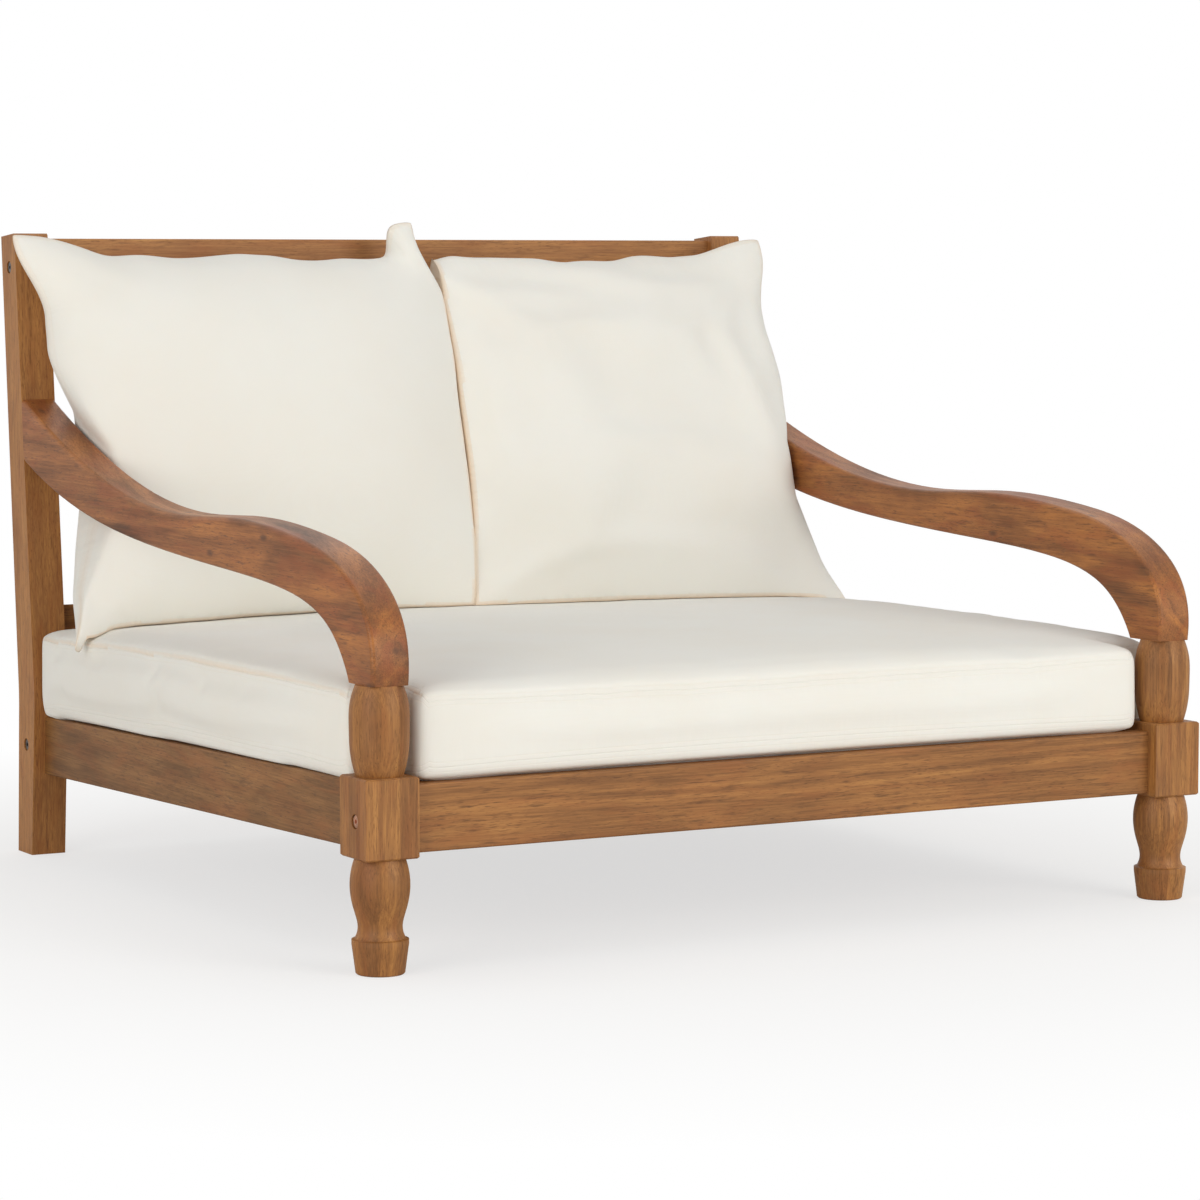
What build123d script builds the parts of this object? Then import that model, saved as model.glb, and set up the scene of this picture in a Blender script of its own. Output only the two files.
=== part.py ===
"""Patio loveseat: a slatted wooden frame with turned front legs, swept arms and loose cushions.

Frame: +Z up, +Y towards the back, +X to the sitter's left as the seat is seen from the front.
The origin is on the floor, under the middle of the frame. All lengths are in millimetres.
"""
from build123d import *
import math
import os

os.makedirs("parts", exist_ok=True)

# Overall sizes of the frame
frame_width = 1218.0
leg_to_post_run = 1097.5
back_height = 880.0
seat_slope = 1.5
post_rake = 5.0

# Turned front legs
leg_block_side = 70.0
leg_block_bottom = 139.0
leg_block_height = 97.0
leg_block_chamfer = 2.0
foot_radius = 29.6
foot_edge = 1.5
foot_ring_radius = 34.2
foot_ring_bottom = 36.0
foot_ring_height = 5.5
ankle_radius = 26.7
ankle_height = 56.0
vase_radius = 36.0
vase_height = 108.0
vase_swell_share = 0.4
vase_shoulder_radius = 33.6
vase_shoulder_height = 127.0
vase_neck_radius = 30.0
barrel_neck_radius = 28.5
barrel_radius = 36.0
barrel_length = 108.0
# Each row: share of the barrel's length, share of its swell from the neck to the belly
barrel_shares = [
    (0.0, 0.0), (0.13, 0.51), (0.26, 0.83), (0.52, 1.0), (0.80, 0.85), (0.93, 0.38), (1.0, 0.0),
]
leg_tenon_radius = 11.0
leg_tenon_length = 26.0

# Raked back posts
post_width = 50.0
post_inset = 12.0
post_knee_height = 225.0
post_knee_depth = 61.0
post_knee_rounding = 260.0
post_top_depth = 52.0
post_foot_depth = 53.8
post_foot_setback = 17.0
post_edge = 2.5

# Rails round the seat and across the back
rail_height = 82.0
rail_thickness = 26.0
rail_top = 225.0
rail_edge = 2.5
front_rail_recess = 17.0
side_rail_inset = 29.0
top_rail_height = 80.0
top_rail_drop = 8.0
lower_back_rail_height = 60.0
lower_back_rail_top = 353.0

# Slats and the pieces that carry them
seat_slat_count = 11
seat_slat_width = 68.0
seat_slat_thickness = 14.0
slat_edge = 1.5
slat_end_gap = 0.5
cleat_width = 20.0
cleat_height = 20.0
cleat_end_gap = 4.0
beam_width = 26.0
beam_height = 60.0
back_slat_count = 9
back_slat_width = 46.0
back_slat_thickness = 14.0
back_slat_tenon = 12.0
mortise_gap = 0.3
corner_block_leg = 68.0
corner_block_height = 38.0
corner_block_drop = 2.5

# Swept arms
arm_width = 50.0
arm_front_inset = 8.0
arm_rear_height = 646.0
arm_edge = 5.0
arm_top_shares = [
    (1.0, 1.0), (0.780, 0.712), (0.640, 0.603), (0.499, 0.566), (0.361, 0.583),
    (0.202, 0.548), (0.080, 0.445), (0.018, 0.285), (0.0, 0.0),
]
arm_under_shares = [
    (0.058, 0.0), (0.073, 0.086), (0.104, 0.192), (0.159, 0.277), (0.242, 0.328),
    (0.387, 0.364), (0.579, 0.407), (0.782, 0.497), (0.9932, 0.709),
]

# Hardware
bolt_radius = 3.0
bolt_head_radius = 7.5
bolt_head_height = 3.2
bolt_socket_across = 5.0
bolt_socket_depth = 2.2
bolt_recess_radius = 8.8
bolt_recess_depth = 4.6
bolt_engagement = 34.0
bolt_gap = 0.3
nut_radius = 5.0
nut_length = 16.0
nut_setback = 25.0
dowel_radius = 5.0
dowel_length = 50.0
dowel_spacing = 40.0
dowel_end_gap = 1.0
dowel_gap = 0.1
screw_radius = 2.0
screw_head_radius = 4.0
screw_head_height = 2.4
screw_grip = 12.0
screw_gap = 0.2
cut_overrun = 20.0

# Cushions
cushion_gap = 0.3
cushion_width = 1194.0
cushion_front_inset = 16.0
cushion_tongue_gap = 8.0
cushion_leg_gap = 13.0
cushion_post_gap = 3.0
cushion_front_height = 112.0
cushion_side_height = 130.0
cushion_crown_height = 139.0
cushion_rear_height = 126.0
cushion_draw_in = 4.0
cushion_corner = 16.0
cushion_top_edge = 11.0
cushion_bottom_edge = 7.0
pillow_height = 545.0
pillow_half_thickness = 110.0
pillow_lean = 20.0
pillow_split = 20.0
pillow_spacing = 1.0
pillow_press = 32.0
pillow_shoulder = 0.89
pillow_arm_gap = 4.0
pillow_flare = 46.0
pillow_back_gap = 0.6
pillow_settling_steps = 4
# Each row: share of the height, share of the half thickness, share of the flare past the arms
pillow_section_shares = [
    (0.0, 0.06, 0.0), (0.07, 0.44, -0.06), (0.22, 0.80, -0.10), (0.44, 1.0, -0.06),
    (0.60, 0.97, 0.22), (0.76, 0.83, 0.82), (0.90, 0.55, 0.96), (1.0, 0.06, 1.10),
]

# Places worked out from the sizes above
rake_slope = math.tan(math.radians(post_rake))
seat_fall = math.tan(math.radians(seat_slope))
post_rise = back_height - post_knee_height
post_top_reach = post_top_depth * math.cos(math.radians(post_rake))
post_top_fall = post_top_depth * math.sin(math.radians(post_rake))
leg_overhang = max(barrel_radius, vase_radius) - leg_block_side / 2
overall_depth = leg_overhang + leg_to_post_run + post_rise * rake_slope + post_top_reach
front_y = leg_overhang - overall_depth / 2
post_knee_y = front_y + leg_to_post_run
leg_rear_y = front_y + leg_block_side
leg_x = frame_width / 2 - leg_block_side / 2
leg_y = front_y + leg_block_side / 2
leg_block_top = leg_block_bottom + leg_block_height
arm_seat_height = leg_block_top + barrel_length
post_outer_x = frame_width / 2 - post_inset
post_inner_x = post_outer_x - post_width
rail_middle_z = rail_top - rail_height / 2
front_rail_y = front_y + front_rail_recess + rail_thickness / 2
front_rail_end_x = frame_width / 2 - leg_block_side
side_rail_x = frame_width / 2 - side_rail_inset - rail_thickness / 2
side_rail_inner_x = side_rail_x - rail_thickness / 2


def post_front_y(height):
    """Return the y of the back post's front face at a height."""
    if height <= post_knee_height:
        return post_knee_y + post_foot_setback * (post_knee_height - height) / post_knee_height
    return post_knee_y + (height - post_knee_height) * rake_slope


def post_rear_y(height):
    """Return the y of the back post's rear face at a height."""
    knee_y = post_knee_y + post_knee_depth
    if height <= post_knee_height:
        foot_y = post_knee_y + post_foot_setback + post_foot_depth
        return knee_y + (foot_y - knee_y) * (post_knee_height - height) / post_knee_height
    top_y = post_front_y(back_height) + post_top_reach
    top_z = back_height - post_top_fall
    return knee_y + (top_y - knee_y) * (height - post_knee_height) / (top_z - post_knee_height)


def post_middle_y(height):
    """Return the y of the middle of the back post at a height."""
    return (post_front_y(height) + post_rear_y(height)) / 2


def seat_line(y):
    """Return the height of the sloping top of the side rails at a place along Y."""
    return rail_top - (y - leg_rear_y) * seat_fall


def post_meeting(drop):
    """Return (y, z) where a line this far below the seat line meets the post's front face."""
    face_slope = post_foot_setback / post_knee_height
    far_y = post_knee_y + post_foot_setback
    z = (rail_top - drop - (far_y - leg_rear_y) * seat_fall) / (1 - face_slope * seat_fall)
    return far_y - face_slope * z, z


back_rail_top = seat_line(post_knee_y + post_knee_depth / 2)
back_rail_z = back_rail_top - rail_height / 2
back_rail_y = post_middle_y(back_rail_z)
lower_rail_z = lower_back_rail_top - lower_back_rail_height / 2
top_rail_z = back_height - top_rail_drop - top_rail_height / 2
back_lean = math.atan2(post_middle_y(top_rail_z) - post_middle_y(lower_rail_z), top_rail_z - lower_rail_z)
back_plane = Plane(
    origin=(0, post_middle_y(lower_rail_z), lower_rail_z),
    x_dir=(1, 0, 0),
    z_dir=(0, -math.cos(back_lean), math.sin(back_lean)),
)
top_rail_v = (top_rail_z - lower_rail_z) / math.cos(back_lean)
seat_angle = math.radians(seat_slope)
seat_plane = Plane(
    origin=(0, leg_rear_y, rail_top),
    x_dir=(1, 0, 0),
    z_dir=(0, math.sin(seat_angle), math.cos(seat_angle)),
)
seat_depth = (post_meeting(0)[0] - leg_rear_y) / math.cos(seat_angle)


def save(piece, name):
    """Label a finished piece and write its STEP file."""
    piece.part.label = name
    export_step(piece.part, f"parts/{name}.step")


def mirrored(piece, name):
    """Write the same piece on the other side of the seat."""
    with BuildPart() as other:
        mirror(piece.part, about=Plane.YZ)
    save(other, name)


def bore(mouth, radius, depth):
    """Cut a round hole into the current part, from a plane that faces out of its mouth."""
    with Locations(mouth.offset(cut_overrun)):
        Cylinder(
            radius,
            depth + cut_overrun,
            align=(Align.CENTER, Align.CENTER, Align.MAX),
            mode=Mode.SUBTRACT,
        )


def bolt_hole(mouth, depth):
    """Cut a bolt's recess and its hole, from the outer face of the piece it passes through."""
    bore(mouth, bolt_recess_radius, bolt_recess_depth)
    bore(mouth, bolt_radius + bolt_gap, depth)


def dowel_holes(mouths):
    """Cut half of each dowel's hole into the current part."""
    for mouth in mouths:
        bore(mouth, dowel_radius + dowel_gap, dowel_length / 2 + dowel_end_gap)


# Where the bolts and their barrel nuts go, on the left side: x is negative there
front_bolt = Plane(origin=(-frame_width / 2, front_rail_y, rail_middle_z), z_dir=(-1, 0, 0))
back_bolt = Plane(origin=(-post_outer_x, back_rail_y, back_rail_z), z_dir=(-1, 0, 0))
top_bolt = Plane(origin=(-post_outer_x, post_middle_y(top_rail_z), top_rail_z), z_dir=(-1, 0, 0))
arm_centre_x = -post_outer_x + arm_width / 2
arm_rise = arm_rear_height - arm_seat_height
arm_heel_z = arm_seat_height + arm_rise * arm_under_shares[-1][1]
arm_bolt_z = (arm_rear_height + arm_heel_z) / 2
arm_bolt = Plane(origin=(arm_centre_x, post_rear_y(arm_bolt_z), arm_bolt_z), z_dir=(0, 1, 0))
front_nut = Plane(
    origin=(-front_rail_end_x + nut_setback, front_rail_y + rail_thickness / 2, rail_middle_z),
    z_dir=(0, 1, 0),
)
back_nut = Plane(
    origin=(-post_inner_x + nut_setback, back_rail_y - rail_thickness / 2, back_rail_z),
    z_dir=(0, -1, 0),
)
top_nut = Plane(
    origin=back_plane.from_local_coords((-post_inner_x + nut_setback, top_rail_v, -rail_thickness / 2)),
    x_dir=(1, 0, 0),
    z_dir=(0, math.cos(back_lean), -math.sin(back_lean)),
)
arm_nut = Plane(
    origin=(-post_outer_x + arm_width, post_front_y(arm_bolt_z) - nut_setback, arm_bolt_z),
    z_dir=(1, 0, 0),
)


def side_rail_dowels(at_front):
    """Return the planes at one end of the left side rail where dowels cross into leg or post."""
    planes = []
    for step in (-1, 1):
        if at_front:
            y, z = leg_rear_y, rail_middle_z + step * dowel_spacing / 2
        else:
            y, z = post_meeting(rail_height / 2 - step * dowel_spacing / 2)
        planes.append(Plane(origin=(-side_rail_x, y, z), x_dir=(1, 0, 0), z_dir=(0, -1, 0)))
    return planes


def lower_rail_dowels():
    """Return the planes at the left end of the lower back rail where dowels cross."""
    planes = []
    for step in (-1, 1):
        place = back_plane.from_local_coords((-post_inner_x, step * dowel_spacing / 2, 0))
        planes.append(Plane(origin=place, x_dir=(0, 1, 0), z_dir=(1, 0, 0)))
    return planes


def flipped(plane):
    """Return the plane at the same place that faces the other way."""
    return Plane(origin=plane.origin, x_dir=plane.x_dir, z_dir=-plane.z_dir)


def across(plane):
    """Return the matching plane on the other side of the seat."""
    place, facing = plane.origin, plane.z_dir
    return Plane(origin=(-place.X, place.Y, place.Z), z_dir=(-facing.X, facing.Y, facing.Z))


# Front legs: a square block between a turned foot and a turned barrel
leg_plane = Plane(origin=(-leg_x, leg_y, 0), x_dir=(1, 0, 0), z_dir=(0, -1, 0))
leg_axis = Axis((-leg_x, leg_y, 0), (0, 0, 1))
with BuildPart() as front_leg:
    with BuildSketch(Plane.XY.offset(leg_block_bottom)):
        with Locations((-leg_x, leg_y)):
            Rectangle(leg_block_side, leg_block_side)
    extrude(amount=leg_block_height)
    block_rims = front_leg.edges().group_by(Axis.Z)[0] + front_leg.edges().group_by(Axis.Z)[-1]
    chamfer(block_rims, leg_block_chamfer)
    ring_top = foot_ring_bottom + foot_ring_height
    step_radius = (foot_ring_radius + ankle_radius) / 2
    swell_height = ankle_height + (vase_height - ankle_height) * vase_swell_share
    with BuildSketch(leg_plane):
        with BuildLine():
            Polyline(
                (0, leg_block_bottom),
                (0, 0),
                (foot_radius - foot_edge, 0),
                (foot_radius, foot_edge),
                (foot_ring_radius, foot_ring_bottom),
                (foot_ring_radius, ring_top),
                (step_radius, ring_top + foot_edge),
            )
            Spline(
                (step_radius, ring_top + foot_edge),
                (ankle_radius, ankle_height),
                ((ankle_radius + vase_radius) / 2, swell_height),
                (vase_radius, vase_height),
                (vase_shoulder_radius, vase_shoulder_height),
                (vase_neck_radius, leg_block_bottom),
            )
            Line((vase_neck_radius, leg_block_bottom), (0, leg_block_bottom))
        make_face()
    revolve(axis=leg_axis)
    barrel_swell = barrel_radius - barrel_neck_radius
    barrel_points = [
        (barrel_neck_radius + swell * barrel_swell, leg_block_top + along * barrel_length)
        for along, swell in barrel_shares
    ]
    tenon_top = arm_seat_height + leg_tenon_length
    with BuildSketch(leg_plane):
        with BuildLine():
            Line((0, leg_block_top), barrel_points[0])
            Spline(*barrel_points)
            Polyline(
                barrel_points[-1],
                (leg_tenon_radius, arm_seat_height),
                (leg_tenon_radius, tenon_top),
                (0, tenon_top),
                (0, leg_block_top),
            )
        make_face()
    revolve(axis=leg_axis)
    bolt_hole(front_bolt, leg_block_side + cut_overrun)
    dowel_holes([flipped(plane) for plane in side_rail_dowels(True)])
save(front_leg, "front_leg_left")
mirrored(front_leg, "front_leg_right")

# Back posts: bent at the knee, raked back above it and splayed back below it
with BuildPart() as rear_post:
    with BuildSketch(Plane.YZ.offset(-post_outer_x)) as post_side:
        Polygon(
            (post_front_y(0), 0),
            (post_front_y(post_knee_height), post_knee_height),
            (post_front_y(back_height), back_height),
            (post_front_y(back_height) + post_top_reach, back_height - post_top_fall),
            (post_rear_y(post_knee_height), post_knee_height),
            (post_rear_y(0), 0),
            align=None,
        )
        feet_knees_and_tops = post_side.vertices().group_by(Axis.Y)
        fillet(feet_knees_and_tops[1], post_knee_rounding)
    extrude(amount=post_width)
    chamfer(rear_post.edges().filter_by(Axis.X).group_by(Axis.Z)[-1], post_edge)
    bolt_hole(back_bolt, post_width + cut_overrun)
    bolt_hole(top_bolt, post_width + cut_overrun)
    bolt_hole(arm_bolt, post_rear_y(arm_bolt_z) - post_front_y(arm_bolt_z) + cut_overrun)
    dowel_holes(side_rail_dowels(False))
    dowel_holes(lower_rail_dowels())
save(rear_post, "rear_post_left")
mirrored(rear_post, "rear_post_right")

# Arms: one swept piece from the post down to the top of the front leg
arm_front_y = front_y + arm_front_inset
arm_run = post_front_y(arm_rear_height) - arm_front_y


def arm_points(shares):
    """Return the (y, z) points of one edge of the arm's outline."""
    return [(arm_front_y + along * arm_run, arm_seat_height + up * arm_rise) for along, up in shares]


with BuildPart() as arm:
    arm_top = arm_points(arm_top_shares)
    arm_under = arm_points(arm_under_shares)
    arm_under[-1] = (post_front_y(arm_heel_z), arm_heel_z)
    with BuildSketch(Plane.YZ.offset(-post_outer_x)):
        with BuildLine():
            Spline(*arm_top)
            Line(arm_top[-1], arm_under[0])
            Spline(*arm_under)
            Line(arm_under[-1], arm_top[0])
        make_face()
    extrude(amount=arm_width)
    fillet(arm.edges().filter_by(GeomType.BSPLINE), arm_edge)
    socket = Plane(origin=(-leg_x, leg_y, arm_seat_height), z_dir=(0, 0, -1))
    bore(socket, leg_tenon_radius + dowel_gap, leg_tenon_length + dowel_end_gap)
    arm_end = Plane(origin=(arm_centre_x, post_front_y(arm_bolt_z), arm_bolt_z), z_dir=(0, 1, 0))
    bore(arm_end, bolt_radius + bolt_gap, bolt_engagement + dowel_end_gap)
    bore(arm_nut, nut_radius + bolt_gap, (arm_width + nut_length) / 2)
save(arm, "arm_left")
mirrored(arm, "arm_right")


def rail_bolt_holes(bolt, nut, end_x):
    """Cut the holes for a bolt and its barrel nut at both ends of the current rail."""
    for side in (-1, 1):
        end = Plane(origin=(side * end_x, bolt.origin.Y, bolt.origin.Z), z_dir=(side, 0, 0))
        bore(end, bolt_radius + bolt_gap, bolt_engagement + dowel_end_gap)
        nut_mouth = Plane(origin=(-side * nut.origin.X, nut.origin.Y, nut.origin.Z), z_dir=nut.z_dir)
        bore(nut_mouth, nut_radius + bolt_gap, (rail_thickness + nut_length) / 2)


def cross_rail(name, bolt, nut, end_x):
    """Make a level rail that runs across the seat between two bolted ends."""
    with BuildPart() as rail:
        with BuildSketch(Plane.YZ.offset(-end_x)):
            with Locations((bolt.origin.Y, bolt.origin.Z)):
                Rectangle(rail_thickness, rail_height)
        extrude(amount=end_x * 2)
        fillet(rail.edges().filter_by(Axis.X), rail_edge)
        rail_bolt_holes(bolt, nut, end_x)
    save(rail, name)


# Front and back rails, bolted between the legs and between the posts
cross_rail("front_rail", front_bolt, front_nut, front_rail_end_x)
cross_rail("back_rail", back_bolt, back_nut, post_inner_x)

# Side rails, sloping down from the front legs to the posts
with BuildPart() as side_rail:
    with BuildSketch(Plane.YZ.offset(-side_rail_x - rail_thickness / 2)):
        Polygon(
            (leg_rear_y, rail_top - rail_height),
            post_meeting(rail_height),
            post_meeting(0),
            (leg_rear_y, rail_top),
            align=None,
        )
    extrude(amount=rail_thickness)
    fillet(side_rail.edges().sort_by(SortBy.LENGTH)[-4:], rail_edge)
    dowel_holes(side_rail_dowels(True))
    dowel_holes([flipped(plane) for plane in side_rail_dowels(False)])
save(side_rail, "side_rail_left")
mirrored(side_rail, "side_rail_right")

# Back: two rails in the plane of the raked posts, with slats let into both
back_slat_gap = (post_inner_x * 2 - back_slat_count * back_slat_width) / (back_slat_count + 1)
back_slat_pitch = back_slat_width + back_slat_gap
back_slat_start = -post_inner_x + back_slat_gap + back_slat_width / 2
back_slat_places = [back_slat_start + index * back_slat_pitch for index in range(back_slat_count)]
slat_foot_v = lower_back_rail_height / 2
slat_head_v = top_rail_v - top_rail_height / 2


def mortises(edge_v):
    """Cut the pockets for the slats' ends along one edge of the current rail."""
    depth = back_slat_tenon + mortise_gap
    thickness = back_slat_thickness + 2 * mortise_gap
    with BuildSketch(back_plane.offset(-thickness / 2)) as pockets:
        with Locations([(x, edge_v) for x in back_slat_places]):
            Rectangle(back_slat_width + 2 * mortise_gap, 2 * depth)
    extrude(pockets.sketch, amount=thickness, mode=Mode.SUBTRACT)


with BuildPart() as top_rail:
    with BuildSketch(back_plane.offset(-rail_thickness / 2)):
        with Locations((0, top_rail_v)):
            Rectangle(post_inner_x * 2, top_rail_height)
    extrude(amount=rail_thickness)
    fillet(top_rail.edges().filter_by(Axis.X), rail_edge)
    mortises(slat_head_v)
    rail_bolt_holes(top_bolt, top_nut, post_inner_x)
save(top_rail, "top_rail")

with BuildPart() as lower_back_rail:
    with BuildSketch(back_plane.offset(-rail_thickness / 2)):
        Rectangle(post_inner_x * 2, lower_back_rail_height)
    extrude(amount=rail_thickness)
    fillet(lower_back_rail.edges().filter_by(Axis.X), rail_edge)
    mortises(slat_foot_v)
    left_ends = [flipped(plane) for plane in lower_rail_dowels()]
    dowel_holes(left_ends + [across(plane) for plane in left_ends])
save(lower_back_rail, "lower_back_rail")

back_slats = []
for number, x in enumerate(back_slat_places, start=1):
    slat_length = slat_head_v - slat_foot_v + 2 * back_slat_tenon
    with BuildPart() as back_slat:
        with BuildSketch(back_plane.offset(-back_slat_thickness / 2)):
            with Locations((x, (slat_head_v + slat_foot_v) / 2)):
                Rectangle(back_slat_width, slat_length)
        extrude(amount=back_slat_thickness)
        fillet(back_slat.edges().sort_by(SortBy.LENGTH)[-4:], slat_edge)
    save(back_slat, f"back_slat_{number}")
    back_slats.append(back_slat.part)

# Seat: slats across the side rails' cleats and a beam under their middle
seat_slat_gap = (seat_depth - seat_slat_count * seat_slat_width) / seat_slat_count
seat_slat_places = [
    (index + 1 / 2) * (seat_slat_width + seat_slat_gap) for index in range(seat_slat_count)
]
cleat_x = side_rail_inner_x - cleat_width / 2
screw_places = [(x, run) for run in seat_slat_places for x in (-cleat_x, 0, cleat_x)]


def screw_plane(place, drop):
    """Return the plane of one slat screw, this far below the top of the slats."""
    x, run = place
    return Plane(
        origin=seat_plane.from_local_coords((x, run, -drop)), x_dir=(1, 0, 0), z_dir=seat_plane.z_dir
    )


def pilot_holes(column_x):
    """Cut the screws' pilot holes along one line of screws."""
    for place in screw_places:
        if place[0] == column_x:
            bore_plane = screw_plane(place, seat_slat_thickness)
            bore(bore_plane, screw_radius + screw_gap, screw_grip + dowel_end_gap)


for number, run in enumerate(seat_slat_places, start=1):
    with BuildPart() as seat_slat:
        with BuildSketch(seat_plane.offset(-seat_slat_thickness)):
            with Locations((0, run)):
                Rectangle((side_rail_inner_x - slat_end_gap) * 2, seat_slat_width)
        extrude(amount=seat_slat_thickness)
        fillet(seat_slat.edges().filter_by(Axis.X), slat_edge)
        for place in screw_places:
            if place[1] == run:
                mouth = screw_plane(place, 0)
                with Locations(mouth):
                    Cone(
                        screw_radius + screw_gap,
                        screw_head_radius + screw_gap,
                        screw_head_height,
                        align=(Align.CENTER, Align.CENTER, Align.MAX),
                        mode=Mode.SUBTRACT,
                    )
                bore(mouth, screw_radius + screw_gap, seat_slat_thickness + cut_overrun)
    save(seat_slat, f"seat_slat_{number}")

with BuildPart() as slat_cleat:
    with BuildSketch(seat_plane.offset(-seat_slat_thickness - cleat_height)):
        with Locations((-cleat_x, seat_depth / 2)):
            Rectangle(cleat_width, seat_depth - 2 * cleat_end_gap)
    extrude(amount=cleat_height)
    pilot_holes(-cleat_x)
save(slat_cleat, "slat_cleat_left")
mirrored(slat_cleat, "slat_cleat_right")

beam_front_y = front_rail_y + rail_thickness / 2
beam_rear_y = back_rail_y - rail_thickness / 2
beam_top_drop = seat_slat_thickness / math.cos(seat_angle)
beam_under_drop = beam_top_drop + beam_height
with BuildPart() as seat_beam:
    with BuildSketch(Plane.YZ.offset(-beam_width / 2)):
        Polygon(
            (beam_front_y, seat_line(beam_front_y) - beam_under_drop),
            (beam_rear_y, seat_line(beam_rear_y) - beam_under_drop),
            (beam_rear_y, seat_line(beam_rear_y) - beam_top_drop),
            (beam_front_y, seat_line(beam_front_y) - beam_top_drop),
            align=None,
        )
    extrude(amount=beam_width)
    pilot_holes(0)
save(seat_beam, "seat_beam")

# Corner blocks, glued in the four inner corners under the cleats
cleat_under_drop = (seat_slat_thickness + cleat_height) / math.cos(seat_angle) + corner_block_drop
front_block_top = seat_line(leg_rear_y + corner_block_leg) - cleat_under_drop
rear_block_top = seat_line(post_knee_y + post_foot_setback) - cleat_under_drop
rear_block_y = post_front_y(rear_block_top)
front_block_outline = [
    (-side_rail_inner_x, leg_rear_y),
    (-front_rail_end_x, leg_rear_y),
    (-front_rail_end_x, beam_front_y),
    (-front_rail_end_x + corner_block_leg, beam_front_y),
    (-side_rail_inner_x, leg_rear_y + corner_block_leg),
]
rear_block_outline = [
    (-side_rail_inner_x, rear_block_y),
    (-side_rail_inner_x, rear_block_y - corner_block_leg),
    (-post_inner_x + corner_block_leg, beam_rear_y),
    (-post_inner_x, beam_rear_y),
    (-post_inner_x, rear_block_y),
]
for end, outline, top in (
    ("front", front_block_outline, front_block_top),
    ("rear", rear_block_outline, rear_block_top),
):
    with BuildPart() as corner_block:
        with BuildSketch(Plane.XY.offset(top)):
            Polygon(*outline, align=None)
        extrude(amount=-corner_block_height)
    save(corner_block, f"corner_block_{end}_left")
    mirrored(corner_block, f"corner_block_{end}_right")

# Bolts, barrel nuts, dowels and screws: alike ones share a node
bolt_grips = [
    (front_bolt, leg_block_side),
    (back_bolt, post_width),
    (top_bolt, post_width),
    (arm_bolt, post_rear_y(arm_bolt_z) - post_front_y(arm_bolt_z)),
]


def add_bolt(mouth, grip):
    """Add a bolt whose head sits in the recess under this plane."""
    seat = mouth.offset(-bolt_recess_depth)
    with Locations(seat):
        Cylinder(
            bolt_head_radius, bolt_head_height, align=(Align.CENTER, Align.CENTER, Align.MIN)
        )
        Cylinder(
            bolt_radius,
            grip - bolt_recess_depth + bolt_engagement,
            align=(Align.CENTER, Align.CENTER, Align.MAX),
        )
    with BuildSketch(seat.offset(bolt_head_height)) as key:
        RegularPolygon(bolt_socket_across / 2, side_count=6, major_radius=False)
    extrude(key.sketch, amount=-bolt_socket_depth, mode=Mode.SUBTRACT)


with BuildPart() as connector_bolts:
    for mouth, grip in bolt_grips:
        add_bolt(mouth, grip)
        add_bolt(across(mouth), grip)
save(connector_bolts, "connector_bolts")

with BuildPart() as barrel_nuts:
    for mouth, thickness in (
        (front_nut, rail_thickness),
        (back_nut, rail_thickness),
        (top_nut, rail_thickness),
        (arm_nut, arm_width),
    ):
        for nut_mouth in (mouth, across(mouth)):
            with Locations(nut_mouth.offset(-(thickness - nut_length) / 2)):
                Cylinder(nut_radius, nut_length, align=(Align.CENTER, Align.CENTER, Align.MAX))
    for mouth, grip in bolt_grips:
        for bolt_mouth in (mouth, across(mouth)):
            bore(bolt_mouth, bolt_radius + dowel_gap, grip + bolt_engagement + dowel_end_gap)
save(barrel_nuts, "barrel_nuts")

with BuildPart() as rail_dowels:
    left_dowels = side_rail_dowels(True) + side_rail_dowels(False) + lower_rail_dowels()
    for plane in left_dowels + [across(dowel) for dowel in left_dowels]:
        with Locations(plane):
            Cylinder(dowel_radius, dowel_length)
save(rail_dowels, "rail_dowels")

with BuildPart() as slat_screws:
    for place in screw_places:
        with Locations(screw_plane(place, 0)):
            Cone(
                screw_radius,
                screw_head_radius,
                screw_head_height,
                align=(Align.CENTER, Align.CENTER, Align.MAX),
            )
            Cylinder(
                screw_radius,
                seat_slat_thickness + screw_grip,
                align=(Align.CENTER, Align.CENTER, Align.MAX),
            )
save(slat_screws, "slat_screws")

# Seat cushion: a tongue between the front legs and two wings that run back under the arms
cushion_plane = seat_plane.offset(cushion_gap)
tongue_half = front_rail_end_x - cushion_tongue_gap
wing_half = cushion_width / 2
tongue_front = cushion_front_inset - leg_block_side
wing_front = cushion_leg_gap
cushion_rear = leg_to_post_run - leg_block_side - cushion_post_gap
wing_middle = (wing_front + cushion_rear) / 2
crown_plane = Plane(
    origin=cushion_plane.origin, x_dir=cushion_plane.y_dir, z_dir=cushion_plane.x_dir
)


def crown_section(offset, drop):
    """Return the cushion's side view on one plane across it, with its crown lowered by drop."""
    with BuildSketch(crown_plane.offset(offset)) as section:
        with BuildLine():
            Line((cushion_rear, 0), (tongue_front, 0))
            Line((tongue_front, 0), (tongue_front, cushion_front_height - drop))
            ThreePointArc(
                (tongue_front, cushion_front_height - drop),
                (wing_middle, cushion_crown_height - drop),
                (cushion_rear, cushion_rear_height - drop),
            )
            Line((cushion_rear, cushion_rear_height - drop), (cushion_rear, 0))
        make_face()
    return section.sketch


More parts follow.
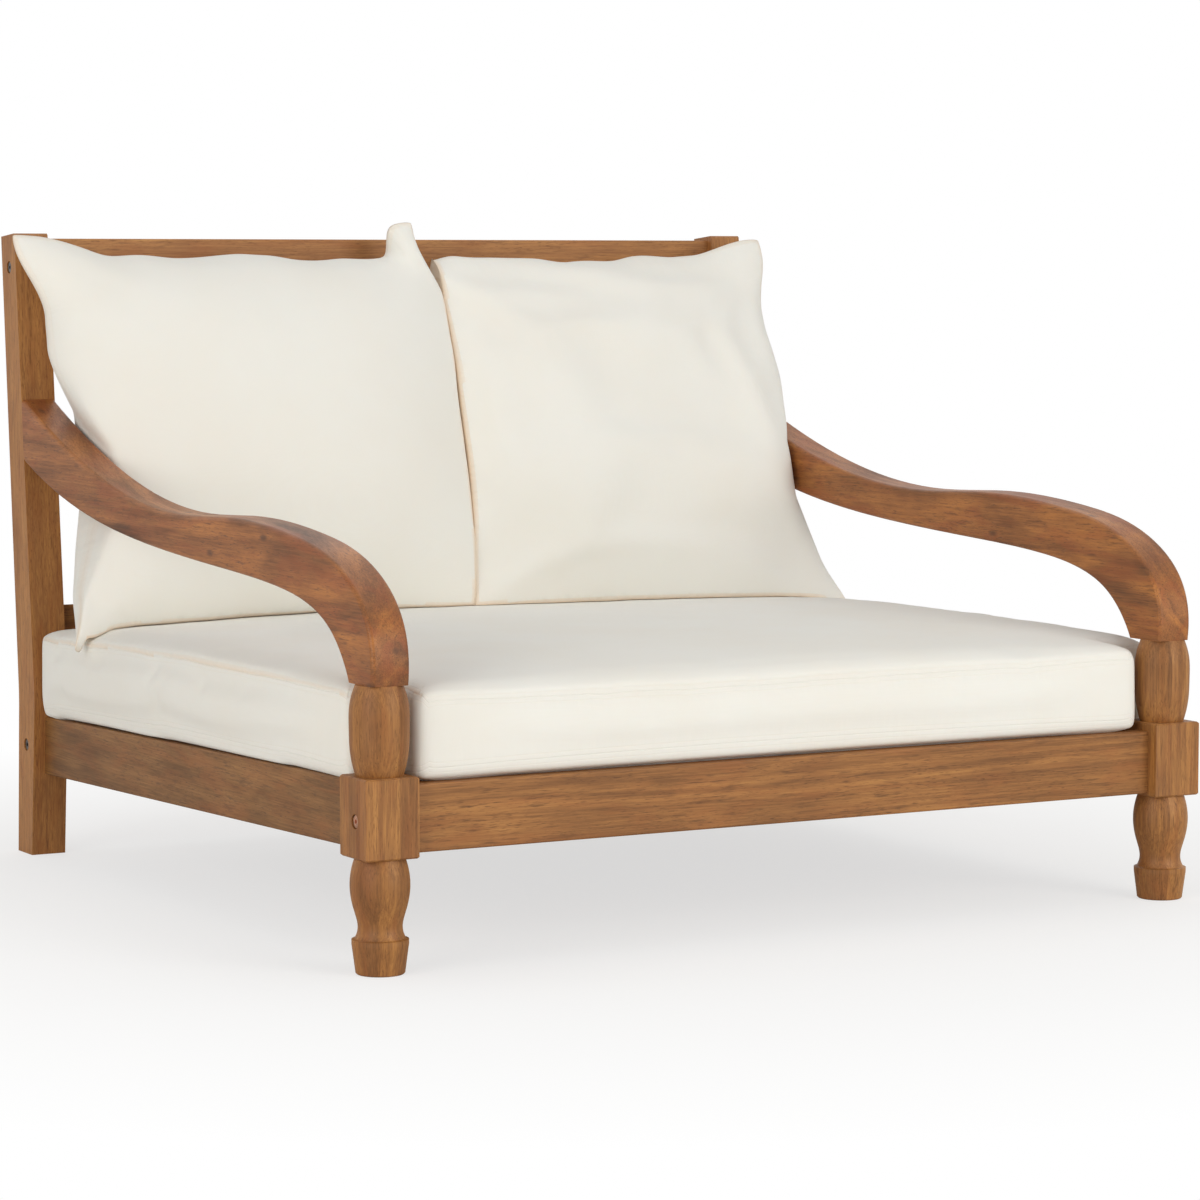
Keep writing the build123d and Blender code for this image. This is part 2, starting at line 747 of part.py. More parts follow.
with BuildPart() as seat_cushion:
    side_drop = cushion_crown_height - cushion_side_height
    loft([
        crown_section(-frame_width / 2, side_drop),
        crown_section(0, 0),
        crown_section(frame_width / 2, side_drop),
    ])
    with BuildSketch(cushion_plane) as cushion_outline:
        with BuildLine():
            ThreePointArc(
                (-tongue_half, tongue_front), (0, tongue_front + cushion_draw_in), (tongue_half, tongue_front)
            )
            Line((tongue_half, tongue_front), (tongue_half, wing_front))
            Line((tongue_half, wing_front), (wing_half, wing_front))
            ThreePointArc(
                (wing_half, wing_front), (wing_half - cushion_draw_in, wing_middle), (wing_half, cushion_rear)
            )
            ThreePointArc(
                (wing_half, cushion_rear), (0, cushion_rear - cushion_draw_in), (-wing_half, cushion_rear)
            )
            ThreePointArc(
                (-wing_half, cushion_rear),
                (cushion_draw_in - wing_half, wing_middle),
                (-wing_half, wing_front),
            )
            Line((-wing_half, wing_front), (-tongue_half, wing_front))
            Line((-tongue_half, wing_front), (-tongue_half, tongue_front))
        make_face()
        fillet(cushion_outline.vertices(), cushion_corner)
    extrude(amount=cushion_crown_height, mode=Mode.INTERSECT)
    fillet(seat_cushion.faces().sort_by(Axis.Z)[-1].edges(), cushion_top_edge)
    fillet(seat_cushion.faces().sort_by(Axis.Z)[0].edges(), cushion_bottom_edge)
save(seat_cushion, "seat_cushion")

# Back pillows: thin at their seams, full in the middle, drawn in where the arms hold them, and
# pressed flat against each other
lean = math.radians(pillow_lean)
arm_side_x = post_inner_x - pillow_arm_gap


def build_pillow(side, inner_x, foot):
    """Make one pillow, from its pressed inner face out to one side, standing on the point foot."""
    seam_x = inner_x - side * pillow_press
    stand = Plane(
        origin=foot, x_dir=(1, 0, 0), z_dir=(0, math.sin(lean), math.cos(lean))
    )
    sections = []
    for height_share, thickness_share, flare_share in pillow_section_shares:
        half = pillow_half_thickness * thickness_share
        outer_x = side * (arm_side_x + pillow_flare * flare_share)
        middle_x = (seam_x + outer_x) / 2
        with BuildSketch(stand.offset(pillow_height * height_share)) as section:
            with BuildLine():
                for swell in (half, -half):
                    Spline(
                        (seam_x, 0), ((seam_x + middle_x) / 2, swell * pillow_shoulder),
                        (middle_x, swell), ((middle_x + outer_x) / 2, swell * pillow_shoulder),
                        (outer_x, 0),
                    )
            make_face()
        sections.append(section.sketch)
    with BuildPart() as pillow:
        loft(sections)
        split(bisect_by=Plane(origin=(inner_x, 0, 0), z_dir=(side, 0, 0)))
    return pillow


def seated_foot(side, inner_x):
    """Return where a pillow's foot goes: back against the slats, and down on the seat cushion."""
    start_y = post_knee_y - pillow_height
    trial = build_pillow(side, inner_x, (0, start_y, back_height)).part
    rail_room = top_rail.part.bounding_box().min.Y - trial.bounding_box().max.Y
    back = 0
    fall = 0
    for _ in range(pillow_settling_steps):
        placed = trial.moved(Location((0, back, -fall)))
        fall += placed.distance_to(seat_cushion.part) - cushion_gap
        placed = trial.moved(Location((0, back, -fall)))
        slat_room = min(placed.distance_to(slat) for slat in back_slats)
        back += min(slat_room, rail_room - back) - pillow_back_gap
    return (0, start_y + back, back_height - fall)


for name, side in (("left", -1), ("right", 1)):
    inner_x = pillow_split + side * pillow_spacing / 2
    pillow = build_pillow(side, inner_x, seated_foot(side, inner_x))
    save(pillow, f"back_pillow_{name}")
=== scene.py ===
"""Patio loveseat: oiled slatted frame, T-shaped seat cushion and two loose back pillows.

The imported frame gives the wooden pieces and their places. This script gives them their
finish, and makes the sewn cushion and the filled pillows in the spaces that the frame holds.
All lengths are in metres.
"""
import logging
import math
from dataclasses import dataclass, field
from enum import Enum

import bmesh
import bpy
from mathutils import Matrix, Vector, noise
from mathutils.bvhtree import BVHTree


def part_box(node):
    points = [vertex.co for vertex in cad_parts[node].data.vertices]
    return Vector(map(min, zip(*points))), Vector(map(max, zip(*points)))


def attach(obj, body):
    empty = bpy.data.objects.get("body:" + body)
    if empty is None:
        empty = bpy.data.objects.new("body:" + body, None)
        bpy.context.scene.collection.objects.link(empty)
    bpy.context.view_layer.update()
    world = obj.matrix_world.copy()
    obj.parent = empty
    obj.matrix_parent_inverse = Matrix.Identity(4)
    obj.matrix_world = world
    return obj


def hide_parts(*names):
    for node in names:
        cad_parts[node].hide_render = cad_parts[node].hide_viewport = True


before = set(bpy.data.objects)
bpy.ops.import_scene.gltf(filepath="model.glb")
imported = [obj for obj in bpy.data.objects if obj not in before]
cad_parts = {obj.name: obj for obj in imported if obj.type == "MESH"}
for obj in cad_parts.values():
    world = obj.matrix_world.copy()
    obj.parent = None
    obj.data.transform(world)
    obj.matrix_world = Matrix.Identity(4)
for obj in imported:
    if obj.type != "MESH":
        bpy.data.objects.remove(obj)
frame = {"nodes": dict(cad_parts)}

LOG = logging.getLogger("loveseat")
FLOOR_Z = 0.0
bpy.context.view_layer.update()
SEAM_GROUP = "seam"
GATHER_GROUP = "gather"


class Grain(Enum):
    """Which way the grain of a wooden piece runs."""

    ACROSS = "x"
    DEEP = "y"
    UPRIGHT = "z"


def linear(code: str) -> tuple[float, float, float, float]:
    """Turn a written colour into the linear values that shaders use.

    Args:
        code: Six hexadecimal digits, red first.

    Returns:
        Red, green and blue in linear light, and an alpha of 1.
    """
    channels = []
    for start in (0, 2, 4):
        value = int(code[start:start + 2], 16) / 255
        channels.append(value / 12.92 if value <= 0.04045 else ((value + 0.055) / 1.055) ** 2.4)
    return (*channels, 1.0)


class Nodes:
    """Short calls that add and join shader nodes in one tree."""

    def __init__(self, tree: bpy.types.NodeTree) -> None:
        """Keep the tree that the nodes go into."""
        self.tree = tree

    def add(self, kind: str, settings: dict | None = None, **inputs) -> bpy.types.Node:
        """Add a node.

        Args:
            kind: The node's type, without its ShaderNode prefix.
            settings: Properties of the node, such as operation.
            inputs: Values or sockets for its inputs; underscores stand for spaces,
                and a name such as in0 gives an input by its number.

        Returns:
            The new node.
        """
        node = self.tree.nodes.new("ShaderNode" + kind)
        for name, value in (settings or {}).items():
            setattr(node, name, value)
        for name, value in inputs.items():
            socket = node.inputs[int(name[2:])] if name[2:].isdigit() else node.inputs[name.replace("_", " ")]
            if isinstance(value, bpy.types.NodeSocket):
                self.tree.links.new(value, socket)
            else:
                socket.default_value = value
        return node

    def math(self, operation: str, first, second=0.0, clamp: bool = False) -> bpy.types.NodeSocket:
        """Add a Math node and return its output."""
        node = self.add("Math", {"operation": operation, "use_clamp": clamp}, in0=first, in1=second)
        return node.outputs[0]

    def attribute(self, name: str) -> bpy.types.NodeSocket:
        """Add an Attribute node that reads one number of the mesh, and return that number."""
        return self.add("Attribute", {"attribute_name": name}).outputs["Fac"]

    def noise(self, vector, scale: float, detail: float = 2.0, roughness: float = 0.5,
              distortion: float = 0.0) -> bpy.types.NodeSocket:
        """Add a Noise texture and return its value."""
        node = self.add("TexNoise", None, Vector=vector, Scale=scale, Detail=detail,
                        Roughness=roughness, Distortion=distortion)
        return node.outputs["Fac"]

    def stretched(self, vector, scale: tuple[float, float, float]) -> bpy.types.NodeSocket:
        """Scale a vector along its three axes and return it."""
        node = self.add("VectorMath", {"operation": "MULTIPLY"}, in0=vector, in1=scale)
        return node.outputs[0]

    def span(self, value, low: float, high: float, to_low: float = 0.0,
             to_high: float = 1.0) -> bpy.types.NodeSocket:
        """Add a clamped Map Range node and return its output."""
        node = self.add("MapRange", {"clamp": True}, Value=value, From_Min=low, From_Max=high,
                        To_Min=to_low, To_Max=to_high)
        return node.outputs["Result"]

    def ramp(self, value, stops: list[tuple[float, tuple]]) -> bpy.types.NodeSocket:
        """Add a colour ramp and return its colour."""
        node = self.add("ValToRGB", None, Fac=value)
        elements = node.color_ramp.elements
        while len(elements) < len(stops):
            elements.new(0.5)
        for element, (place, colour) in zip(elements, stops):
            element.position = place
            element.color = colour
        return node.outputs["Color"]

    def blend(self, factor, first, second, mode: str = "MIX") -> bpy.types.NodeSocket:
        """Mix two colours and return the result."""
        node = self.add("Mix", {"data_type": "RGBA", "blend_type": mode}, in0=factor, in6=first, in7=second)
        return node.outputs[2]


@dataclass(frozen=True)
class WoodTone:
    """The four colours of one cut of oiled wood, from its darkest lines to its lightest."""

    dark: str = "583618"
    middle: str = "85572C"
    light: str = "A36E39"
    bright: str = "BE8747"
    blush: str = "9A5B2C"
    blush_share: float = 0.35


@dataclass(frozen=True)
class WoodFinish:
    """Oiled hardwood with growth bands, pores along the grain and glued strips."""

    tone: WoodTone = WoodTone()
    band_scale: float = 95.0
    band_sway: float = 0.011
    pith_offset: tuple[float, float] = (0.07, 0.11)
    contrast: float = 0.50
    blotch: float = 0.62
    knots: float = 0.25
    strip_width: float = 0.0
    roughness: float = 0.5

    def material(self, name: str, grain: Grain, shift: Vector, turn: float = 0.0) -> bpy.types.Material:
        """Make the material of one wooden piece.

        Args:
            name: The material's name.
            grain: The axis that the grain runs along.
            shift: Where in the timber the piece is cut from, so that no two look alike.
            turn: How far the growth rings are turned about the grain, in radians.

        Returns:
            The new material.
        """
        material = bpy.data.materials.new(name)
        material.use_nodes = True
        tree = material.node_tree
        tree.nodes.clear()
        n = Nodes(tree)
        place = n.add("TexCoord").outputs["Object"]
        split = n.add("SeparateXYZ", None, Vector=place).outputs
        order = {Grain.ACROSS: (0, 1, 2), Grain.DEEP: (1, 0, 2), Grain.UPRIGHT: (2, 0, 1)}[grain]
        along = n.add("CombineXYZ", None, X=split[order[0]], Y=split[order[1]], Z=split[order[2]]).outputs[0]
        tone_step = 0.0
        if self.strip_width:
            strip = n.math("FLOOR", n.math("DIVIDE", split[order[1]], self.strip_width))
            strip_shift = n.add("CombineXYZ", None, X=n.math("MULTIPLY", strip, 0.37),
                                Y=n.math("MULTIPLY", strip, 0.053), Z=0.0).outputs[0]
            along = n.add("VectorMath", {"operation": "ADD"}, in0=along, in1=strip_shift).outputs[0]
            tone_step = n.span(n.add("TexWhiteNoise", {"noise_dimensions": "1D"}, W=strip).outputs[0],
                               0.0, 1.0, -0.10, 0.12)
        cut = n.add("Mapping", None, Vector=along, Location=shift, Rotation=(turn, 0.0, 0.0)).outputs[0]
        sway = n.noise(n.stretched(cut, (1.6, 9.0, 9.0)), 1.0, 3.0, 0.55)
        parts = n.add("SeparateXYZ", None, Vector=cut).outputs
        ring_y = n.math("ADD", parts[1], self.pith_offset[0])
        ring_z = n.math("ADD", parts[2], self.pith_offset[1])
        squares = n.math("ADD", n.math("MULTIPLY", ring_y, ring_y), n.math("MULTIPLY", ring_z, ring_z))
        ring = n.math("SQRT", squares)
        ring = n.math("ADD", ring, n.math("MULTIPLY", n.math("SUBTRACT", sway, 0.5), self.band_sway * 4))
        drift = n.noise(n.stretched(cut, (7.0, 40.0, 40.0)), 1.0, 2.0, 0.5)
        ring = n.math("ADD", ring, n.math("MULTIPLY", drift, self.band_sway * 0.25))
        bands = n.add("TexNoise", {"noise_dimensions": "1D"}, W=ring, Scale=self.band_scale, Detail=3.0,
                      Roughness=0.62).outputs["Fac"]
        fibres = n.noise(n.stretched(cut, (14.0, 520.0, 520.0)), 1.0, 2.0, 0.6)
        blotches = n.noise(n.stretched(cut, (4.5, 16.0, 16.0)), 1.0, 3.0, 0.6, 0.4)
        pores = n.noise(n.stretched(cut, (90.0, 1100.0, 1100.0)), 1.0, 1.0, 0.5)
        pore_patch = n.span(n.noise(n.stretched(cut, (6.0, 60.0, 60.0)), 1.0, 1.0), 0.35, 0.6)
        pore_share = n.math("ADD", n.math("MULTIPLY", pore_patch, 0.6), 0.4)
        pore_mark = n.math("MULTIPLY", n.span(pores, 0.60, 0.70), pore_share)
        tone = n.math("ADD", n.math("MULTIPLY", n.math("SUBTRACT", bands, 0.5), self.contrast), 0.50)
        tone = n.math("ADD", tone, n.math("MULTIPLY", n.math("SUBTRACT", fibres, 0.5), 0.52))
        tone = n.math("ADD", tone, n.math("MULTIPLY", n.math("SUBTRACT", blotches, 0.5), self.blotch))
        tone = n.math("ADD", tone, tone_step)
        colour = n.ramp(tone, [(0.10, linear(self.tone.dark)), (0.42, linear(self.tone.middle)),
                               (0.64, linear(self.tone.light)), (0.95, linear(self.tone.bright))])
        blush = n.span(n.noise(n.stretched(cut, (5.0, 22.0, 22.0)), 1.7, 2.0, 0.5, 0.8), 0.46, 0.66)
        colour = n.blend(n.math("MULTIPLY", blush, self.tone.blush_share), colour, linear(self.tone.blush))
        colour = n.blend(n.math("MULTIPLY", pore_mark, 0.72), colour, linear(self.tone.dark))
        streaks = n.noise(n.stretched(cut, (26.0, 300.0, 300.0)), 1.0, 2.0, 0.7)
        streak_share = n.span(blotches, 0.40, 0.62, 0.22, 0.65)
        streak_mark = n.math("MULTIPLY", n.span(streaks, 0.54, 0.70), streak_share)
        colour = n.blend(streak_mark, colour, linear(self.tone.dark))
        cells = n.add("TexVoronoi", None, Vector=n.stretched(cut, (9.0, 21.0, 21.0)), Scale=1.0)
        knot = n.span(cells.outputs["Distance"], 0.05, 0.13, 1.0, 0.0)
        knot = n.math("MULTIPLY", knot, self.knots * 0.8)
        colour = n.blend(knot, colour, linear(self.tone.dark))
        height = n.math("SUBTRACT", n.math("MULTIPLY", fibres, 0.5), n.math("MULTIPLY", pore_mark, 0.8))
        bump = n.add("Bump", None, Strength=0.32, Distance=0.0004, Height=height).outputs[0]
        shine = n.span(tone, 0.1, 0.9, self.roughness + 0.10, self.roughness - 0.06)
        shader = n.add("BsdfPrincipled", None, Base_Color=colour, Roughness=shine, Normal=bump)
        shader.inputs["Specular IOR Level"].default_value = 0.38
        out = n.add("OutputMaterial", None, Surface=shader.outputs[0])
        out.is_active_output = True
        return material


@dataclass(frozen=True)
class MetalFinish:
    """A turned or plated metal."""

    colour: str
    roughness: float = 0.35
    metallic: float = 1.0
    rear_colour: str = ""
    rear_from: float = 0.0

    def material(self, name: str) -> bpy.types.Material:
        """Make the metal with fine wear in its colour and its gloss."""
        material = bpy.data.materials.new(name)
        material.use_nodes = True
        tree = material.node_tree
        tree.nodes.clear()
        n = Nodes(tree)
        place = n.add("TexCoord").outputs["Object"]
        wear = n.noise(place, 900.0, 3.0, 0.6)
        tarnish = n.noise(place, 160.0, 2.0, 0.5)
        base = linear(self.colour)
        if self.rear_colour:
            depth = n.add("SeparateXYZ", None, Vector=place).outputs[1]
            base = n.blend(n.math("GREATER_THAN", depth, self.rear_from), base, linear(self.rear_colour))
        colour = n.blend(n.span(tarnish, 0.35, 0.7, 0.0, 0.5), base, linear("3A2A20"))
        rough = n.span(wear, 0.3, 0.7, self.roughness - 0.08, self.roughness + 0.14)
        bump = n.add("Bump", None, Strength=0.15, Distance=0.0002, Height=wear).outputs[0]
        shader = n.add("BsdfPrincipled", None, Base_Color=colour, Roughness=rough, Normal=bump)
        shader.inputs["Metallic"].default_value = self.metallic
        n.add("OutputMaterial", None, Surface=shader.outputs[0])
        return material


@dataclass(frozen=True)
class ClothFinish:
    """Ivory canvas, woven plain, gathered beside its seams, with warm shade painted into its creases.

    It reads the three attributes that mark_seams gives to a sewn piece.
    """

    colour: str = "EFEEE8"
    shade: str = "EAE3D6"
    # The colour of the shade painted into creases and along the seams.
    crease_shade: str = "EBCFAE"
    thread_pitch: float = 0.0011
    gather_pitch: float = 0.013
    gather_length: float = 0.044
    gather_height: float = 0.0046
    seam_width: float = 0.0014
    stitch_inset: float = 0.0065
    sheen: float = 0.12

    def material(self, name: str) -> bpy.types.Material:
        """Make the canvas, with its weave on Object coordinates and its seams on attributes."""
        material = bpy.data.materials.new(name)
        material.use_nodes = True
        tree = material.node_tree
        tree.nodes.clear()
        n = Nodes(tree)
        place = n.add("TexCoord").outputs["Object"]
        waves = []
        for direction in ("X", "Y", "Z"):
            bands = {"wave_type": "BANDS", "bands_direction": direction, "wave_profile": "SIN"}
            wave = n.add("TexWave", bands, Vector=place, Scale=math.tau / (self.thread_pitch * 20),
                         Distortion=0.6, Detail=1.0, Detail_Scale=3.0)
            waves.append(wave.outputs["Fac"])
        weave = n.math("MULTIPLY", n.math("ADD", n.math("ADD", waves[0], waves[1]), waves[2]), 0.333)
        slubs = n.noise(n.stretched(place, (60.0, 60.0, 420.0)), 1.0, 2.0, 0.6)
        soil = n.noise(place, 5.0, 3.0, 0.5)
        gap = n.math("ABSOLUTE", n.attribute("seam_gap"))
        run = n.attribute("seam_run")
        strength = n.attribute("seam_gather_and_shade")
        groove = n.span(gap, 0.0, self.seam_width, 1.0, 0.0)
        off_stitch = n.math("ABSOLUTE", n.math("SUBTRACT", gap, self.stitch_inset))
        stitch = n.span(off_stitch, 0.0003, 0.0011, 1.0, 0.0)
        across = n.add("CombineXYZ", None, X=n.math("DIVIDE", run, self.gather_pitch),
                       Y=n.math("DIVIDE", gap, self.gather_length * 2.2), Z=0.0).outputs[0]
        folds = n.noise(across, 1.0, 2.0, 0.45, 0.3)
        fade = n.math("POWER", n.span(gap, 0.0, self.gather_length, 1.0, 0.0), 1.4)
        folds = n.math("MULTIPLY", n.math("MULTIPLY", n.math("SUBTRACT", folds, 0.5), fade), strength)
        colour = n.blend(n.span(soil, 0.35, 0.75, 0.0, 0.35), linear(self.colour), linear(self.shade))
        colour = n.blend(n.span(weave, 0.2, 0.8, 0.10, 0.0), colour, linear(self.shade))
        # Painted shade: a warm peach tint in the seam grooves and along the lines where the cloth is pressed
        # against the seat or the other pillow, stronger where the gathers are strong.
        painted_crease_shade = n.math("MULTIPLY", n.span(gap, 0.0, 0.009, 0.65, 0.0), n.math("POWER", strength, 2.0))
        colour = n.blend(painted_crease_shade, colour, linear(self.crease_shade))
        # A faint touch of the same painted shade colour along the stitch line.
        colour = n.blend(n.math("MULTIPLY", stitch, 0.05), colour, linear(self.crease_shade))
        height = n.math("ADD", n.math("MULTIPLY", weave, 0.8), n.math("MULTIPLY", slubs, 0.5))
        fine = n.add("Bump", None, Strength=0.22, Distance=0.0003, Height=height).outputs[0]
        crumple = n.noise(place, 26.0, 3.0, 0.5)
        broad = n.add("Bump", None, Strength=0.10, Distance=0.004, Height=crumple, Normal=fine).outputs[0]
        sewn = n.add("Bump", None, Strength=0.8, Distance=self.gather_height, Height=folds,
                     Normal=broad).outputs[0]
        dent = n.math("MULTIPLY", n.math("ADD", groove, n.math("MULTIPLY", stitch, 0.35)), -1.0)
        bump = n.add("Bump", None, Strength=0.5, Distance=0.0009, Height=dent, Normal=sewn).outputs[0]
        shader = n.add("BsdfPrincipled", None, Base_Color=colour, Normal=bump)
        shader.inputs["Roughness"].default_value = 0.92
        shader.inputs["Specular IOR Level"].default_value = 0.2
        shader.inputs["Sheen Weight"].default_value = self.sheen
        shader.inputs["Sheen Roughness"].default_value = 0.5
        shader.inputs["Subsurface Weight"].default_value = 0.12
        shader.inputs["Subsurface Radius"].default_value = (0.012, 0.009, 0.007)
        n.add("OutputMaterial", None, Surface=shader.outputs[0])
        return material


def dress(piece: bpy.types.Object, material: bpy.types.Material) -> None:
    """Give a piece one material in all its slots."""
    mesh = piece.data
    if not mesh.materials:
        mesh.materials.append(material)
    for index in range(len(mesh.materials)):
        mesh.materials[index] = material


def new_piece(name: str, shape: bmesh.types.BMesh, smooth: bool = True) -> bpy.types.Object:
    """Turn a finished bmesh into an object of the scene.

    Args:
        name: The object's name.
        shape: The mesh, with its place in its vertices. It is freed here.
        smooth: Whether its faces are shaded smooth.

    Returns:
        The new object.
    """
    bmesh.ops.recalc_face_normals(shape, faces=shape.faces)
    mesh = bpy.data.meshes.new(name)
    shape.to_mesh(mesh)
    shape.free()
    mesh.polygons.foreach_set("use_smooth", [smooth] * len(mesh.polygons))
    piece = bpy.data.objects.new(name, mesh)
    bpy.context.scene.collection.objects.link(piece)
    return piece


def apply_modifier(piece: bpy.types.Object, modifier: bpy.types.Modifier) -> None:
    """Apply one modifier of a piece to its mesh."""
    bpy.ops.object.select_all(action="DESELECT")
    piece.select_set(True)
    bpy.context.view_layer.objects.active = piece
    bpy.ops.object.modifier_apply(modifier=modifier.name)


def ease(value: float) -> float:
    """Return a smooth step of a value that is held between 0 and 1."""
    held = min(max(value, 0.0), 1.0)
    return held * held * (3.0 - 2.0 * held)


@dataclass
class WoodenFrame:
    """The rigid pieces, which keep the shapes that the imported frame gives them."""

    seed_step: float = 0.731
    leg_strip: float = 0.0235
    finishes: dict[str, WoodFinish] = field(default_factory=dict)

    def __post_init__(self) -> None:
        """Choose a finish for each kind of piece."""
        plain = WoodFinish()
        red = WoodFinish(
            tone=WoodTone(dark="523119", middle="855229", light="A46732", bright="C07C38", blush="964F26",
                          blush_share=0.5),
            band_scale=46.0, band_sway=0.018, contrast=0.6, blotch=1.25, knots=1.0,
            pith_offset=(0.04, 0.05), roughness=0.44,
        )
        strips = WoodFinish(tone=WoodTone(dark="5E3A1A", middle="8D5D30", light="AC763D", bright="C68E4C"),
                            strip_width=self.leg_strip, contrast=0.50, blotch=0.8, pith_offset=(0.3, 0.12))
        # A darker copy of the wood, painting shade onto the side rails.
        shaded_side_wood = WoodFinish(tone=WoodTone(dark="4E3016", middle="765028", light="926535", bright="B07F44"),
                           blotch=0.8, band_scale=50.0)
        # A lighter copy of the wood, painting light onto the rear posts and the top rail.
        brightened_pale_wood = WoodFinish(tone=WoodTone(dark="6C4421", middle="996638", light="B57E45", bright="CB9653"),
                          blotch=0.5, contrast=0.40)
        self.finishes = {"arm": red, "front_leg": strips, "rear_post": brightened_pale_wood, "top_rail": brightened_pale_wood,
                         "side_rail": shaded_side_wood, "": plain}

    def grain_of(self, node: str) -> Grain:
        """Return the direction of a piece's grain."""
        if node.startswith(("front_leg", "rear_post", "back_slat")):
            return Grain.UPRIGHT
        if node.startswith(("side_rail", "arm", "slat_cleat", "seat_beam")):
            return Grain.DEEP
        return Grain.ACROSS

    def dress(self, nodes: dict[str, bpy.types.Object]) -> None:
        """Give each rigid node its own cut of wood, or its metal.

        Args:
            nodes: The frame's nodes by name.
        """
        bronze = MetalFinish("D9A487", 0.30, rear_colour="6E6A66").material("bronzed_bolts")
        steel = MetalFinish("B5B2AC", 0.4).material("steel_hardware")
        for number, name in enumerate(sorted(nodes)):
            piece = nodes[name]
            if name == "connector_bolts":
                dress(piece, bronze)
            elif name in ("barrel_nuts", "slat_screws"):
                dress(piece, steel)
            elif "cushion" not in name and "pillow" not in name:
                kind = next(key for key in self.finishes if name.startswith(key))
                shift = Vector((number * self.seed_step, number * 0.017, number * 0.029))
                dress(piece, self.finishes[kind].material(f"wood_{name}", self.grain_of(name), shift,
                                                          turn=number * 0.4))
            LOG.info("dressed %s", name)


def mark_seams(piece: bpy.types.Object, marks: list[tuple[float, float, float]]) -> None:
    """Write on each point of a sewn piece where it lies from its seams.

    Args:
        piece: The piece.
        marks: For each point, its distance from the nearest seam, how far along that seam it
        lies, and how strongly the cloth is gathered there and warm shade is painted beside
        the seam, from 0 to 1.
    """
    for name, column in zip(("seam_gap", "seam_run", "seam_gather_and_shade"), zip(*marks)):
        layer = piece.data.attributes.new(name, "FLOAT", "POINT")
        layer.data.foreach_set("value", column)


def surface_of(node: bpy.types.Object) -> BVHTree:
    """Return the surface of an object whose place is in its mesh, for measuring against."""
    mesh = node.data
    points = [vertex.co for vertex in mesh.vertices]
    return BVHTree.FromPolygons(points, [list(face.vertices) for face in mesh.polygons])


@dataclass(frozen=True)
class Filling:
    """How a closed cover is blown up by its filling, as a cloth held by pressure.

    spare is the share of spare cloth beside the seams, which gathers it there.
    """

    pressure: float = 4.0
    frames: int = 20
    stretch: float = 25.0
    shear: float = 8.0
    bend: float = 0.4
    spare: float = 0.0
    mass: float = 0.3
    reach: float = 0.2

    def fill(self, piece: bpy.types.Object) -> None:
        """Simulate the cover, hold each point within reach of its start, and apply the result.

        Args:
            piece: The closed cover, a little smaller than it ends.
        """
        before = [vertex.co.copy() for vertex in piece.data.vertices]
        cloth = piece.modifiers.new("filling", "CLOTH")
        settings = cloth.settings
        settings.quality = 5
        settings.mass = self.mass
        settings.tension_stiffness = self.stretch
        settings.compression_stiffness = self.stretch
        settings.shear_stiffness = self.shear
        settings.bending_stiffness = self.bend
        settings.tension_damping = 15.0
        settings.compression_damping = 15.0
        settings.shear_damping = 15.0
        settings.use_pressure = True
        settings.uniform_pressure_force = self.pressure
        if SEAM_GROUP in piece.vertex_groups:
            settings.vertex_group_mass = SEAM_GROUP
            settings.vertex_group_shrink = GATHER_GROUP
            settings.shrink_min = 0.0
            settings.shrink_max = -self.spare
        settings.effector_weights.gravity = 0.0
        cloth.collision_settings.use_collision = False
        cloth.collision_settings.use_self_collision = False
        cloth.point_cache.frame_start = 1
        cloth.point_cache.frame_end = self.frames
        scene = bpy.context.scene
        for number in range(1, self.frames + 1):
            scene.frame_set(number)
        apply_modifier(piece, cloth)
        scene.frame_set(1)
        for vertex, start in zip(piece.data.vertices, before):
            move = vertex.co - start
            if move.length > self.reach:
                vertex.co = start + move * (self.reach / move.length)


def subdivide(piece: bpy.types.Object) -> None:
    """Round a piece by subdividing it once, and apply the result."""
    modifier = piece.modifiers.new("rounding", "SUBSURF")
    modifier.levels = 1
    modifier.render_levels = 1
    apply_modifier(piece, modifier)


def smooth_shade(piece: bpy.types.Object) -> None:
    """Shade every face of a piece smooth."""
    piece.data.polygons.foreach_set("use_smooth", [True] * len(piece.data.polygons))


@dataclass(frozen=True)
class CushionOutline:
    """The T-shaped outline of the seat cushion, seen from above."""

    low: Vector
    high: Vector
    notch_x: float
    notch_y: float

    @classmethod
    def measure(cls, leg_gap: float) -> "CushionOutline":
        """Read the outline from the boxes of the cushion and of the leg that it goes round."""
        low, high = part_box("seat_cushion")
        leg_low, leg_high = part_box("front_leg_right")
        return cls(low, high, leg_low.x - leg_gap, leg_high.y + leg_gap)

    def inset(self, point: Vector) -> float:
        """Return how far a point lies in from the outline."""
        wings = min(self.high.x - abs(point.x), point.y - self.notch_y)
        tongue = min(self.notch_x - abs(point.x), point.y - self.low.y)
        return min(max(wings, tongue), self.high.y - point.y)


